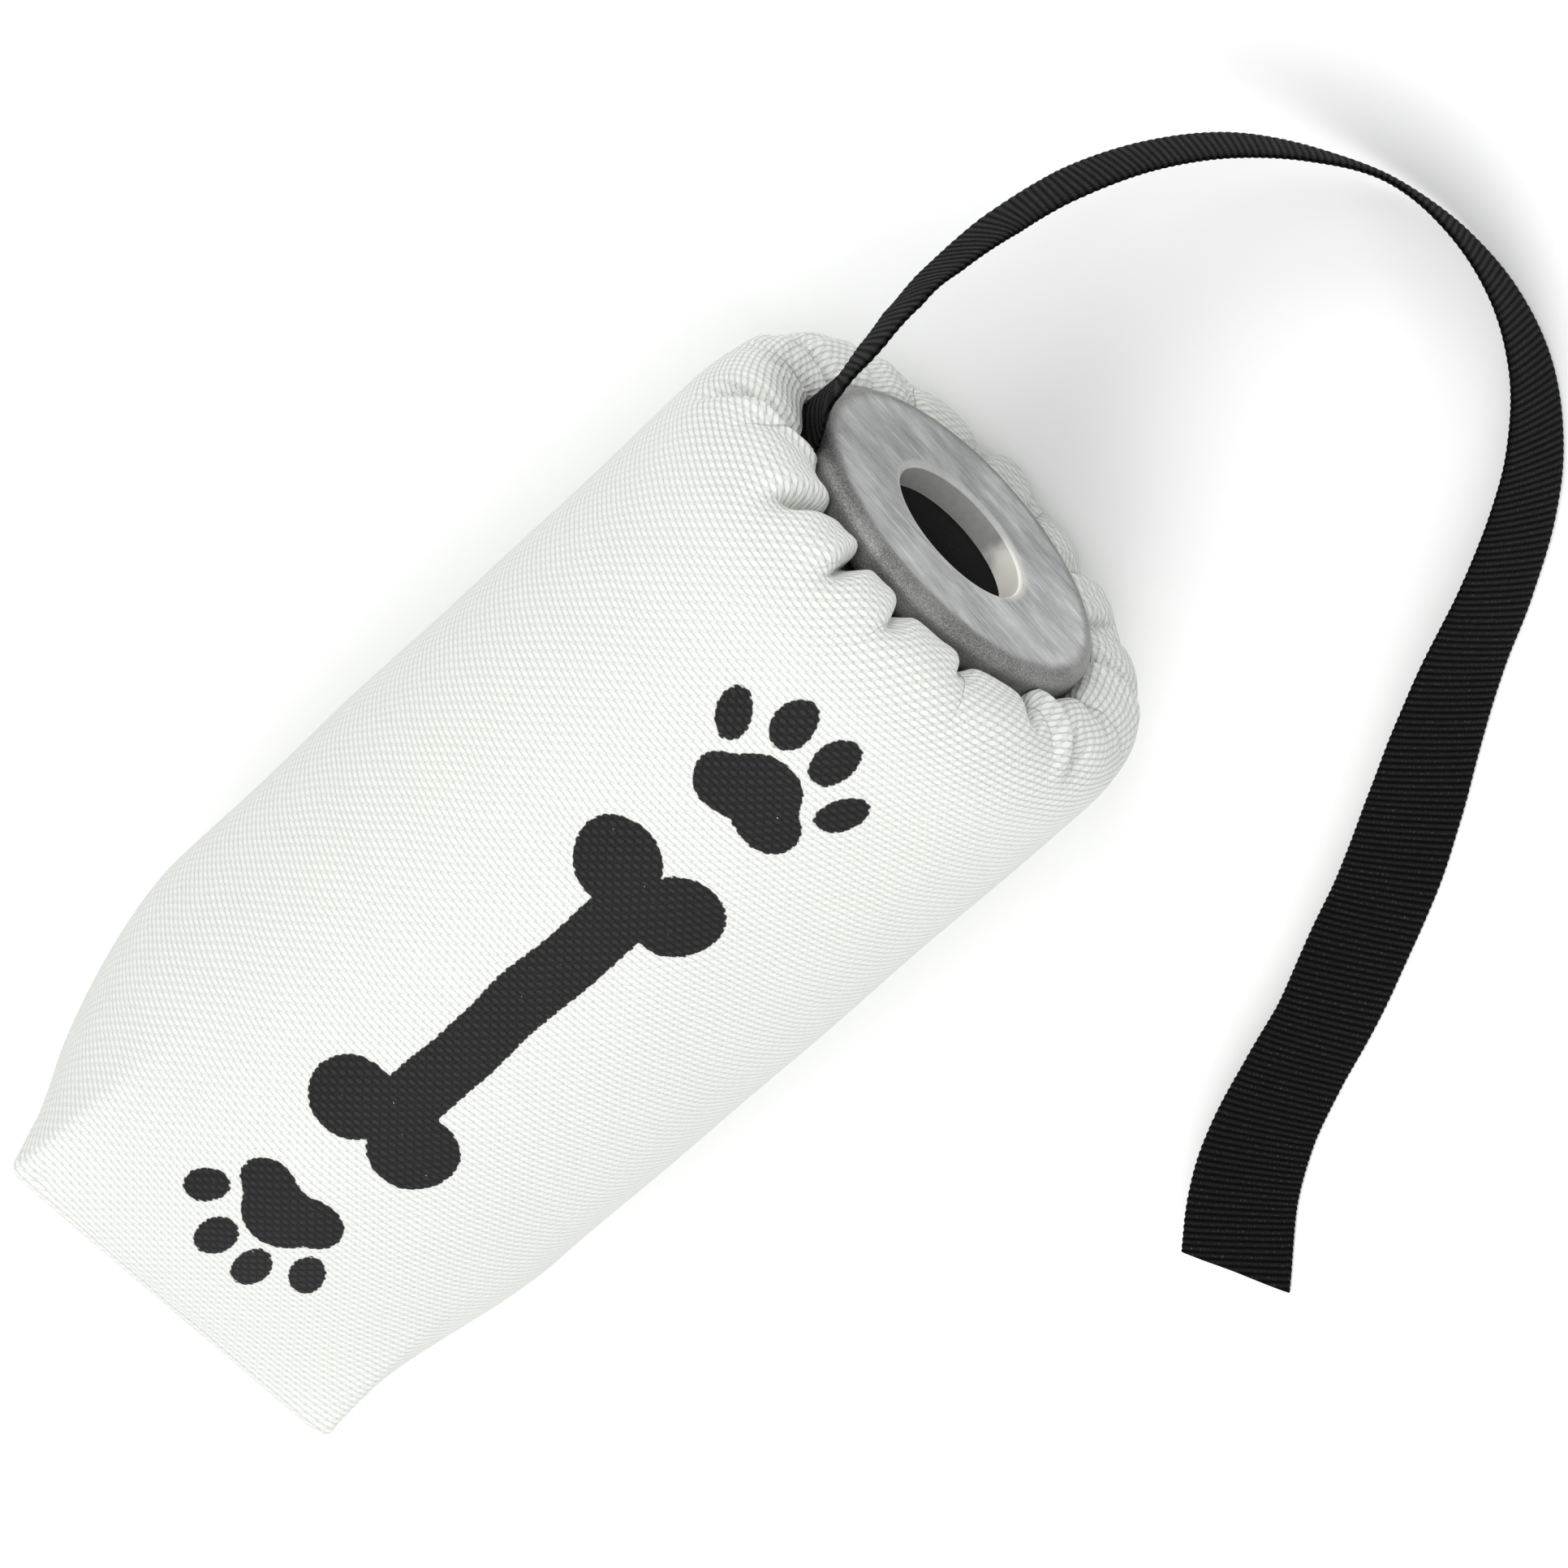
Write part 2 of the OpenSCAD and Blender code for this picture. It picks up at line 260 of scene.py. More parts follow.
class Graph:
    """One material's nodes, with short ways to add maths."""

    def __init__(self, name):
        self.material = bpy.data.materials.new(name)
        self.material.use_nodes = True
        self.tree = self.material.node_tree
        self.shader = self.tree.nodes["Principled BSDF"]

    def add(self, kind, inputs=None, **settings):
        """A node; inputs maps its sockets to values or to other nodes' outputs."""
        node = self.tree.nodes.new(kind)
        for key, value in settings.items():
            setattr(node, key, value)
        for key, value in (inputs or {}).items():
            self.put(node.inputs[key], value)
        return node

    def put(self, socket, value):
        if isinstance(value, bpy.types.NodeSocket):
            self.tree.links.new(value, socket)
        else:
            socket.default_value = value

    def math(self, operation, a, b=0.0, c=0.0):
        return self.add("ShaderNodeMath", {0: a, 1: b, 2: c}, operation=operation).outputs[0]

    def plus(self, a, b):
        return self.math("ADD", a, b)

    def minus(self, a, b):
        return self.math("SUBTRACT", a, b)

    def times(self, a, b):
        return self.math("MULTIPLY", a, b)

    def over(self, a, b):
        return self.math("DIVIDE", a, b)

    def times_plus(self, a, b, c):
        """a times b, plus c."""
        return self.math("MULTIPLY_ADD", a, b, c)

    def ramp(self, value, low, high, to_low=0.0, to_high=1.0):
        """value from low..high, smoothly, to to_low..to_high."""
        names = {"Value": value, "From Min": low, "From Max": high, "To Min": to_low, "To Max": to_high}
        return self.add("ShaderNodeMapRange", names, interpolation_type="SMOOTHSTEP").outputs["Result"]

    def mix(self, share, a, b):
        """Two colours mixed, b at share 1."""
        names = {"Factor": share, "A": a, "B": b}
        return self.add("ShaderNodeMix", names, data_type="RGBA").outputs["Result"]

    def noise(self, vector, scale, detail=2.0, roughness=0.5):
        names = {"Vector": vector, "Scale": scale, "Detail": detail, "Roughness": roughness}
        return self.add("ShaderNodeTexNoise", names).outputs["Fac"]

    def xyz(self, vector):
        return self.add("ShaderNodeSeparateXYZ", {0: vector}).outputs

    def vector(self, x, y, z=0.0):
        return self.add("ShaderNodeCombineXYZ", {0: x, 1: y, 2: z}).outputs[0]

    def length(self, vector):
        return self.add("ShaderNodeVectorMath", {0: vector}, operation="LENGTH").outputs["Value"]

    def place(self):
        """The point's place on the object, in metres."""
        return self.add("ShaderNodeTexCoord").outputs["Object"]

    def uv(self):
        return self.add("ShaderNodeUVMap", uv_map="cloth").outputs["UV"]

    def bump(self, height, depth):
        """The normal of a relief, whose height of 1 is depth millimetres."""
        names = {"Height": height, "Distance": depth * MM, "Strength": 1.0}
        return self.add("ShaderNodeBump", names).outputs["Normal"]

    def finish(self, **sockets):
        """The material, with the shader's sockets set; names have _ for a space."""
        for name, value in sockets.items():
            self.put(self.shader.inputs[name.replace("_", " ")], value)
        return self.material


def grey(value, tint=(1.0, 1.0, 1.0)):
    """A grey, times a tint near white."""
    return (value * tint[0], value * tint[1], value * tint[2], 1.0)


def weave(g):
    """A plain weave over the cloth's own coordinates: its height, which yarn is on top, u and v.

    Yarns round the body float in rows of staggered beads, and the others show lower between them."""
    uv = g.uv()
    u, v, _ = g.xyz(uv)
    drift_u = g.times(g.noise(uv, 0.09, detail=1.0), 0.8)
    drift_v = g.times(g.noise(g.vector(v, u), 0.11, detail=1.0), 0.8)
    su = g.plus(drift_u, g.over(u, FLOAT_PITCH))
    sv = g.plus(drift_v, g.over(v, ROW_PITCH))
    staggered = g.times(g.plus(su, g.math("FLOOR", sv)), 0.5)
    pu = g.times_plus(g.math("FRACT", staggered), 2.0, -1.0)
    pv = g.minus(g.math("FRACT", sv), 0.5)
    gap = g.minus(1.0, g.math("ABSOLUTE", pu))
    bead = dome(g, pu, g.times_plus(pu, -0.16, pv), 0.95, 0.50)
    low = g.times(dome(g, gap, pv, 0.58, 0.75), 0.55)
    return g.math("MAXIMUM", bead, low), g.math("GREATER_THAN", low, bead), u, v


def dome(g, x, y, half_x, half_y):
    """Height of a round-topped oval bump at (x, y) from its middle, 1 at its top and 0 outside."""
    first, second = g.over(x, half_x), g.over(y, half_y)
    inside = g.minus(1.0, g.times_plus(first, first, g.times(second, second)))
    return g.math("SQRT", g.math("MAXIMUM", inside, 0.0))


def ellipse(g, u, v, centre, radii, turn=0.0):
    """Distance to an ellipse's edge in the (u, v) plane, in millimetres, negative inside."""
    du = g.minus(u, centre[0])
    dv = g.minus(v, centre[1])
    c, s = math.cos(math.radians(turn)), math.sin(math.radians(turn))
    first = g.times_plus(dv, s, g.times(du, c))
    second = g.times_plus(dv, c, g.times(du, -s))
    scaled = g.vector(g.over(first, radii[0]), g.over(second, radii[1]))
    return g.times(g.minus(g.length(scaled), 1.0), min(radii))


def bone_and_paws(g, u, v):
    """A bone between two paw prints, mirrored, as the distance to the ink's edge."""
    wobble = g.minus(g.noise(g.vector(u, v), 0.07, detail=1.0), 0.5)
    across = g.times_plus(wobble, 1.6, g.minus(u, PRINT_U))
    along = g.math("ABSOLUTE", g.minus(v, PRINT_V))
    side = g.math("ABSOLUTE", across)
    past_shaft = g.math("MAXIMUM", g.minus(along, 23), 0.0)
    shaft = g.minus(g.length(g.vector(across, past_shaft)), 4.4)
    knob = ellipse(g, side, along, (5.6, 26.5), (6.3, 6.3))
    heel = ellipse(g, side, along, (0.0, 48.2), (5.6, 5.6))
    ball = ellipse(g, side, along, (4.4, 45.4), (4.4, 3.9), 12)
    outline = g.math("SMOOTH_MIN", shaft, knob, 1.0)
    inner_toe = ellipse(g, side, along, (3.7, 58.6), (2.7, 4.1), -6)
    outer_toe = ellipse(g, side, along, (9.9, 53.4), (2.5, 3.8), -26)
    for shape in (g.math("SMOOTH_MIN", heel, ball, 2.5), inner_toe, outer_toe):
        outline = g.math("MINIMUM", outline, shape)
    return outline


def cloth_material(name, base, printed=None):
    """White woven polyester; printed gives the distance to the ink's edge."""
    g = Graph(name)
    height, lengthwise, u, v = weave(g)
    uv = g.vector(u, v)
    fibre_u = g.noise(g.vector(u, g.times(v, 5.0)), 1.5, detail=2.0)
    fibre_v = g.noise(g.vector(g.times(u, 5.0), v), 1.5, detail=2.0)
    names = {"Factor": lengthwise, "A": fibre_u, "B": fibre_v}
    fibre = g.add("ShaderNodeMix", names).outputs["Result"]
    relief = g.times_plus(fibre, 0.22, height)
    # the beads' tops are whitest; the hollows between them get painted shade, darkest on the rolled cloth
    # at the mouth
    cloudy = g.noise(uv, 0.035, detail=3.0)
    uneven = g.noise(uv, 0.8, detail=1.0)
    top = g.mix(cloudy, grey(base * 0.97, (0.985, 1.0, 0.965)), grey(base, (1.0, 1.008, 0.955)))
    deepest_shade, deep = grey(base * 0.74, (0.98, 1.005, 0.97)), grey(base * 0.92, (0.99, 1.005, 0.96))
    hollow_shade = g.mix(g.times_plus(uneven, 0.5, 0.25), deepest_shade, deep)
    # painted shade: the hollows darken more on the roll at the mouth
    roll_shade = g.ramp(v, ROLL_V - 3, ROLL_V + 7)
    hollow_shade = g.mix(g.times(roll_shade, 0.30), hollow_shade, grey(base * 0.42))
    colour = g.mix(g.ramp(height, 0.10, 0.92), hollow_shade, top)
    rough, gloss = 0.72, 0.5
    if printed:
        edge = g.times_plus(g.minus(0.5, height), 0.30, printed(g, u, v))
        ragged = g.times_plus(g.minus(g.noise(uv, 1.1), 0.5), 0.35, edge)
        missed = g.times_plus(height, 0.5, g.noise(uv, 0.9, detail=3.0))
        inked = g.times(g.ramp(ragged, -0.10, 0.10, 1.0, 0.0), g.ramp(missed, 0.25, 0.33))
        # painted highlight: the ink is lighter on the beads' crests
        ink_with_highlight = g.mix(g.ramp(relief, 0.50, 1.20), grey(0.007), grey(0.019, (1.0, 0.99, 0.94)))
        colour = g.mix(inked, colour, ink_with_highlight)
        rough = g.times_plus(inked, -0.27, rough)
        gloss = g.times_plus(inked, -0.36, gloss)
    names = {"Base_Color": colour, "Roughness": rough, "Specular_IOR_Level": gloss}
    return g.finish(**names, Normal=g.bump(relief, 0.20))


def webbing_material():
    """Black webbing: filaments along the strap over the modelled ribs, with painted shade between them and
    painted glints on their crests.
    """
    g = Graph("strap_webbing")
    uv = g.uv()
    u, v, _ = g.xyz(uv)
    yarn = g.math("SINE", g.times(v, 2 * math.pi / 0.46))
    crest = g.math("ABSOLUTE", g.math("SINE", g.times(u, math.pi / RIB)))
    fuzz = g.noise(g.vector(u, g.times(v, 3.0)), 2.2, detail=3.0, roughness=0.6)
    glint_scatter = g.ramp(g.noise(g.vector(g.times(u, 0.6), v), 3.1), 0.56, 0.72)
    glint = g.times(glint_scatter, g.math("POWER", crest, 4.0))
    dusty = g.noise(uv, 0.06, detail=2.0)
    colour = g.mix(dusty, grey(0.0052), grey(0.0090, (0.98, 1.0, 1.03)))
    # painted shade in the grooves between the ribs
    colour = g.mix(g.ramp(crest, 0.40, 1.10), grey(0.0030), colour)
    # painted glints: pale specks on the ribs' crests
    colour = g.mix(g.times(glint, 0.22), colour, grey(0.16))
    relief = g.times_plus(fuzz, 0.8, g.times(yarn, 0.45))
    rough = g.ramp(fuzz, 0.3, 0.7, 0.60, 0.80)
    names = {"Base_Color": colour, "Roughness": rough, "Normal": g.bump(relief, 0.12)}
    return g.finish(**names, Specular_IOR_Level=g.ramp(crest, 0.4, 1.0, 0.02, 0.09))


def foam_material(name, tone, tint, cell):
    """Cut foam: open cells of about a size in millimetres, with painted shade in their pores."""
    g = Graph(name)
    place = g.place()
    voronoi = g.add("ShaderNodeTexVoronoi", {"Vector": place, "Scale": 1 / (cell * MM)}, feature="F1")
    pore = g.ramp(voronoi.outputs["Distance"], 0.15, 0.55)
    shade = g.noise(place, 60.0, detail=3.0)
    base = g.mix(shade, grey(tone * 0.93, tint), grey(tone, tint))
    # painted shade in the pores
    colour = g.mix(pore, grey(tone * 0.55, tint), base)
    return g.finish(Base_Color=colour, Roughness=0.95, Normal=g.bump(pore, cell * 0.4))


def sideways(g, y, z, share, scale, detail, roughness=0.5):
    """Noise drawn out sideways on the flange's face, the more so for a smaller share."""
    return g.noise(g.vector(g.times(y, share), z), scale, detail, roughness)


def machined_tone(g, y, z, haze, streak):
    """Colour of the flange's machined face, whose streaks and scratches run sideways."""
    scuff = sideways(g, y, z, 0.35, 420.0, 4.0, 0.6)
    blotch = sideways(g, y, z, 0.4, 210.0, 4.0, 0.6)
    scratch = sideways(g, y, z, 0.05, 2400.0, 1.0)
    tone = g.times_plus(g.ramp(haze, 0.36, 0.66), 0.20, 0.34)
    for amount, share in (
        (g.ramp(blotch, 0.40, 0.60, -1.0, 0.6), 0.06),
        (g.minus(streak, 0.5), 0.26),
        (g.ramp(scuff, 0.56, 0.70), 0.09),
        (g.ramp(scratch, 0.62, 0.72), 0.16),
        (g.ramp(scratch, 0.28, 0.38, 1.0, 0.0), -0.12),
    ):
        tone = g.times_plus(amount, share, tone)
    return g.vector(tone, g.times(tone, 1.01), g.times(tone, 1.015))


def cast_tone(g, place, level):
    """Colour of the flange's cast edges: dull and mottled, with painted sparkle glints and a painted
    highlight band, laid all round like polished wear, where they meet the face.
    """
    shade = g.ramp(g.noise(place, 160.0, detail=3.0), 0.3, 0.7)
    # painted glints: pale sparkle specks over the cast edges
    sparkle_glints = g.ramp(g.noise(place, 5600.0, detail=1.0), 0.58, 0.72)
    # painted highlight: a lighter band round the edge next to the face, laid all round like polished wear
    edge_highlight_grain = g.ramp(g.noise(place, 3800.0, detail=2.0), 0.42, 0.62)
    edge_highlight = g.times(g.ramp(level, FACE_X - 2.4, FACE_X - 1.2), edge_highlight_grain)
    cast = g.mix(shade, grey(0.112, (1.0, 0.985, 0.96)), grey(0.180, (1.0, 0.99, 0.965)))
    cast = g.mix(g.times(sparkle_glints, 0.36), cast, grey(0.60))
    return g.mix(g.times(edge_highlight, 0.28), cast, grey(0.46, (1.0, 0.99, 0.96)))


def flange_material():
    """Cast aluminium: a hazy machined face, grainy edges with painted glints, a bore with a painted
    highlight.
    """
    g = Graph("flange_metal")
    place = g.place()
    x, y, z = g.xyz(place)
    height = g.minus(z, AXIS_H * MM)
    radius = g.over(g.length(g.vector(y, height)), MM)
    level = g.over(x, MM)
    # shares of the surface that are machined face, bore, and the painted highlight patch in the bore
    worn = g.times_plus(g.noise(place, 420.0, detail=3.0), 1.3, radius)
    face = g.ramp(worn, FLANGE_R - 2.8, FLANGE_R - 1.0, 1.0, 0.0)
    face = g.times(face, g.ramp(level, FACE_X - 0.7, FACE_X - 0.15))
    bore = g.ramp(radius, BORE_R + 0.2, BORE_R + 1.4, 1.0, 0.0)
    # painted highlight: a bright cream patch on the bore's wall about one angle
    angle = g.math("ARCTAN2", height, g.times(y, -1.0))
    off_bore_highlight = g.math("ABSOLUTE", g.plus(angle, 0.35))
    off_bore_highlight = g.times_plus(g.noise(place, 260.0, detail=2.0), 0.5, off_bore_highlight)
    inward = g.ramp(radius, BORE_R + 0.05, BORE_R + 0.5, 1.0, 0.3)
    bore_highlight = g.times(g.ramp(off_bore_highlight, 0.75, 1.15, 1.0, 0.0), inward)
    streak = sideways(g, y, z, 0.12, 1500.0, 4.0, 0.75)
    haze = sideways(g, y, z, 0.7, 85.0, 6.0, 0.62)
    nicked = g.ramp(g.noise(g.vector(g.times(y, 0.30), z, 3.0), 520.0, detail=1.0), 0.765, 0.785)
    dull = g.mix(g.noise(place, 900.0), grey(0.42, (1.0, 0.99, 0.97)), grey(0.58, (1.0, 0.99, 0.97)))
    # the bore's wall, with its painted highlight
    wall = g.mix(bore_highlight, dull, grey(0.97, (1.0, 0.975, 0.90)))
    colour = g.mix(face, cast_tone(g, place, level), machined_tone(g, y, z, haze, streak))
    colour = g.mix(bore, colour, wall)
    colour = g.mix(g.times(nicked, 0.75), colour, grey(0.04))
    grain = g.noise(place, 4200.0, detail=2.0, roughness=0.6)
    turned = g.math("SINE", g.times(level, 2 * math.pi / 0.22))
    relief = g.times(g.minus(1.0, face), g.times(grain, 1.9))
    relief = g.times_plus(g.times(streak, face), 0.35, relief)
    relief = g.times(relief, g.minus(1.0, bore))
    relief = g.times_plus(g.times(turned, bore), 0.10, relief)
    relief = g.times_plus(nicked, -0.9, relief)
    rough = g.times_plus(g.minus(haze, 0.5), 0.35, g.times_plus(face, 0.10, 0.36))
    rough = g.times_plus(g.times(bore, bore_highlight), -0.12, rough)
    metallic = g.times_plus(bore, g.times_plus(bore_highlight, -0.38, -0.15), 0.55)
    return g.finish(Base_Color=colour, Roughness=rough, Metallic=metallic, Normal=g.bump(relief, 0.05))


def steel_material(name, tone, rough=0.34):
    """Plated steel: faint brushing round the bumper's axis, spots and a little dulling."""
    g = Graph(name)
    place = g.place()
    x, y, z = g.xyz(place)
    brushed = g.noise(g.vector(g.times(x, 9.0), y, z), 700.0, detail=3.0)
    spots = g.ramp(g.noise(place, 900.0, detail=3.0), 0.58, 0.72)
    colour = g.mix(spots, grey(tone, (1.0, 0.995, 0.98)), grey(tone * 0.62, (1.0, 0.97, 0.92)))
    roughness = g.times_plus(brushed, 0.25, rough)
    return g.finish(Base_Color=colour, Metallic=0.95, Roughness=roughness, Normal=g.bump(brushed, 0.03))


def tube_material():
    """Black coated tube with a fine powdery grain and a few pale specks."""
    g = Graph("black_tube")
    place = g.place()
    grain = g.noise(place, 2600.0, detail=3.0, roughness=0.65)
    specks = g.ramp(g.noise(place, 1900.0, detail=1.0), 0.74, 0.79)
    colour = g.mix(g.noise(place, 70.0, detail=2.0), grey(0.009), grey(0.018, (1.0, 1.0, 1.03)))
    colour = g.mix(g.times(specks, 0.30), colour, grey(0.25))
    return g.finish(Base_Color=colour, Roughness=0.60, Normal=g.bump(grain, 0.07))


def cord_material():
    """Grey polyester braid: fine slanting filaments over the modelled strands."""
    g = Graph("cord")
    place = g.place()
    filament = g.noise(place, 4200.0, detail=3.0, roughness=0.7)
    colour = g.mix(filament, grey(0.16), grey(0.30, (1.0, 1.0, 1.02)))
    return g.finish(Base_Color=colour, Roughness=0.7, Normal=g.bump(filament, 0.05), Sheen_Weight=0.2)


def paint(material, *nodes):
    """Gives CAD nodes that stay in view their material."""
    for node in nodes:
        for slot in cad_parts[node].material_slots:
            slot.material = material


# ---- Strap ----

# Route of the free strap, as in the CAD source: x and y in metres, roll from upright in degrees,
# and lift in metres above resting on its lower edge
STRAP_ROUTE = [
    (0.0804, 0.0246, 13, 0.0394), (0.082, 0.0249, 11, 0.0393), (0.085, 0.0255, 12, 0.0381),
    (0.0885, 0.0261, 14, 0.0365), (0.0935, 0.027, 15, 0.0332), (0.099, 0.0275, 14, 0.0286),
    (0.1075, 0.027, 15, 0.022), (0.117, 0.025, 12, 0.0173), (0.126, 0.021, 6, 0.012),
    (0.134, 0.015, 0, 0.0075), (0.1405, 0.007, -8, 0.004), (0.1455, -0.0025, -15, 0.0015),
    (0.1475, -0.013, -11, 0.0005), (0.1465, -0.024, -3, 0), (0.1425, -0.034, 7, 0),
    (0.1355, -0.0425, 17, 0), (0.127, -0.049, 25, 0), (0.117, -0.0545, 30, 0),
    (0.107, -0.059, 35, 0), (0.0975, -0.064, 41, 0), (0.088, -0.0695, 48, 0),
    (0.078, -0.075, 53, 0), (0.068, -0.0795, 55, 0), (0.058, -0.084, 54, 0),
    (0.048, -0.0875, 56, 0), (0.038, -0.0915, 60, 0), (0.029, -0.0968, 67, 0),
    (0.0196, -0.1048, 75, 0),
]


def rest_z(roll):
    """Height of the strap's middle when its lower edge rests, rolled by an angle from upright."""
    a = math.radians(roll)
    return STRAP_W / 2 * math.cos(a) + STRAP_T / 2 * abs(math.sin(a)) + 0.1


def route_frames(knots, samples):
    """Fine points down a strap's middle and its directions, from rows of x, y, z and roll."""
    rows = catmull(knots, np.linspace(0, len(knots) - 1, samples))
    middle = rows[:, :3]
    ahead = unit(np.gradient(middle, axis=0))
    up = unit(np.array([0, 0, 1.0]) - ahead[:, 2:] * ahead)
    side = np.cross(ahead, up)
    roll = np.radians(rows[:, 3])[:, None]
    across = np.cos(roll) * up + np.sin(roll) * side
    return lengths_along(middle), middle, across, np.cross(ahead, across)


def ribbed_strip(name, frames, length_from, length_to, cup, slant=0.0):
    """Webbing with cross ribs and looped edges along a route.

    cup gives its curl across, in 1/mm, and slant how far its end is cut off the square."""
    along, middle, across, through = frames
    side_points, per_rib = 11, 7
    count = int((length_to - length_from) / RIB * per_rib) + 1
    station = np.linspace(length_from, length_to, count)[:, None]
    spread = np.sin(np.linspace(-1, 1, side_points) * math.pi / 2)
    share = np.concatenate([spread, spread[::-1]])[None]
    face = np.concatenate([np.ones(side_points), -np.ones(side_points)])[None]
    at = np.clip(station + smooth(length_to - 9, length_to, station) * slant * share, 0, along[-1])
    rib = np.abs(np.sin(math.pi * at / RIB))
    thick = (STRAP_T / 2 - 0.15 * (1 - rib**0.8)) * (1 - 0.55 * np.abs(share) ** 14)
    reach = STRAP_W / 2 - 0.17 + 0.17 * np.abs(np.sin(math.pi * at / RIB + 0.4)) ** 0.8
    reach = reach + 0.05 * waves(station + 0 * share, seed=5, finest=9)
    wide = share * reach
    curl = np.maximum(cup(at), 1e-4)
    bow = 1 / curl - np.sqrt(1 / curl**2 - wide**2)
    loose = smooth(length_from + 8, length_from + 30, at)
    flutter = 0.10 * waves(at, wide * 0.7, seed=8, finest=14) * loose
    out = bow + flutter - face * thick
    points = along_line(at, along, middle) + wide[..., None] * along_line(at, along, across)
    points = points + out[..., None] * along_line(at, along, through)
    uv = np.stack(np.broadcast_arrays(at, wide + 40 * (face < 0)), axis=-1).reshape(-1, 2)
    return make_mesh(name, points.reshape(-1, 3), capped_grid(count, side_points * 2), uv)


def add_strap(material):
    """The free strap: out from under the flange's rim and down to the surface."""
    a = math.radians(STRAP_ANGLE)
    rim_r = FLANGE_R + 0.2 + STRAP_T / 2
    on_rim = (72.6, 76.6)
    tucked = [(*round_axis(x, rim_r, a), STRAP_ANGLE) for x in on_rim]
    free = [(x / MM, y / MM, rest_z(roll) + lift / MM, roll) for x, y, roll, lift in STRAP_ROUTE]
    past_end = [tuple(2 * last - before for last, before in zip(free[-1], free[-2]))]
    frames = route_frames(tucked + free + past_end, 2400)
    along, middle = frames[:2]
    end_at = float(along[np.argmin(np.linalg.norm(middle - np.array(free[-1][:3]), axis=1))])
    exit_at = float(np.interp(FACE_X - 0.8, middle[:300, 0], along[:300]))

    def cup(at):
        """Curled round the flange's rim at first, then nearly flat."""
        return (1 / rim_r - 1 / 130) * (1 - smooth(exit_at - 1, exit_at + 5, at)) + 1 / 130

    strap = ribbed_strip("throw_strap_webbing", frames, 0.3, end_at - 0.9, cup, slant=-2.7)
    finish_piece(strap, None, material, "throw_strap")
    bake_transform(strap)


def add_strap_anchor(material):
    """The strap's hidden end: flat on the hub, up the flange's back and round its rim."""
    a = math.radians(STRAP_ANGLE)
    low_r = NECK_R + STRAP_T / 2
    high_r = FLANGE_R + 0.2 + STRAP_T / 2
    back_x = FLANGE_BACK - 0.15 - STRAP_T / 2
    # its path seen from the side, as x and radius, with round bends
    turn = 0.75
    on_hub = [(back_x - reach, low_r) for reach in (9.45, 6.85, 4.25)]
    bend_in = [(back_x - turn + turn * math.sin(t), low_r + turn - turn * math.cos(t))
               for t in np.radians([0, 30, 60, 90])]
    bend_out = [(back_x + turn - turn * math.cos(t), high_r - turn + turn * math.sin(t))
                for t in np.radians([0, 30, 60, 85])]
    halfway_up = (back_x, 21.5)
    side = np.array(on_hub + bend_in + [halfway_up] + bend_out)
    rows = catmull(side, np.linspace(0, len(side) - 1, 600))
    middle = round_axis(rows[:, 0], rows[:, 1], a)
    ahead = unit(np.gradient(middle, axis=0))
    across = np.broadcast_to(directions_at(a)[1], middle.shape)
    along = lengths_along(middle)

    def cup(at):
        """Curled round the hub and the rim, and flat against the flange's back."""
        return np.interp(at, along, np.abs(ahead[:, 0]) / rows[:, 1])

    frames = (along, middle, across, np.cross(ahead, across))
    anchor = ribbed_strip("strap_anchor_webbing", frames, 0, along[-1], cup)
    finish_piece(anchor, "root", material, "strap_anchor")


# ---- Cloth cover ----

# Folds gathered at the mouth: angle at the rim, angle where the fold dies out, its reach over the
# roll, its depth and width, and which side overlaps the other (+1 the lower angle's side)
FOLDS = [
    (3, 8, 12, 1.3, 0.9, -1), (38, 20, 22, 6.4, 0.85, -1), (60, 57.5, 18, 3.2, 0.9, 1),
    (76.5, 80, 17, 3.4, 0.8, 1), (94, 96.5, 15, 2.0, 0.8, 1), (118, 116, 10, 1.8, 0.8, 1),
    (147, 141, 12, 2.0, 0.7, -1), (156, 154, 17, 4.8, 0.8, 1), (180, 172, 15, 1.0, 0.7, -1),
    (203, 200, 15, 3.6, 0.9, 1), (223, 227, 13, 1.6, 0.9, -1), (243, 240, 16, 2.2, 1.0, 1),
    (262, 266, 13, 1.7, 0.9, -1), (282, 278, 16, 2.2, 1.0, 1), (304, 308, 13, 1.6, 0.9, 1),
    (325, 321, 16, 2.0, 1.0, -1), (345, 348, 14, 1.7, 0.9, 1),
]

# Skin from the body over the soft roll, down against the rim, behind the flange and along its hub:
# distance from the flange's face, and radius
MOUTH = [
    (-13, 39), (-9.5, 38.75), (-6.5, 38.1), (-4.4, 37.0), (-2.9, 35.5), (-2.1, 33.6), (-1.9, 31.6),
    (-2.0, 29.6), (-2.3, 28.0), (-3.0, 26.7), (-4.0, 26.0), (-5.2, 25.75), (-6.6, 25.7), (-7.8, 25.0),
    (-8.1, 22.5), (-8.2, 19.6), (-9.4, 17.6), (-11.5, 17.2), (-16, NECK_R),
]
# the point of MOUTH that meets the flange's rim
RIM_KNOT = 11
# rings of points in the boxed end's flat face
FACE_ROWS = 12


def theta_columns(count=600):
    """Angles round the cover, closer together at the folds and the corners."""
    fine = np.linspace(0, 360, 7201)
    density = np.ones_like(fine)
    at_folds = [(angle, 3.0) for fold in FOLDS for angle in fold[:2]]
    for angle, width in at_folds + [(corner, 4.0) for corner in BOX_CORNERS]:
        density += 1.6 * np.exp(-((wrap(fine - angle) / width) ** 2))
    return spaced(np.arange(count) / count, fine, density)


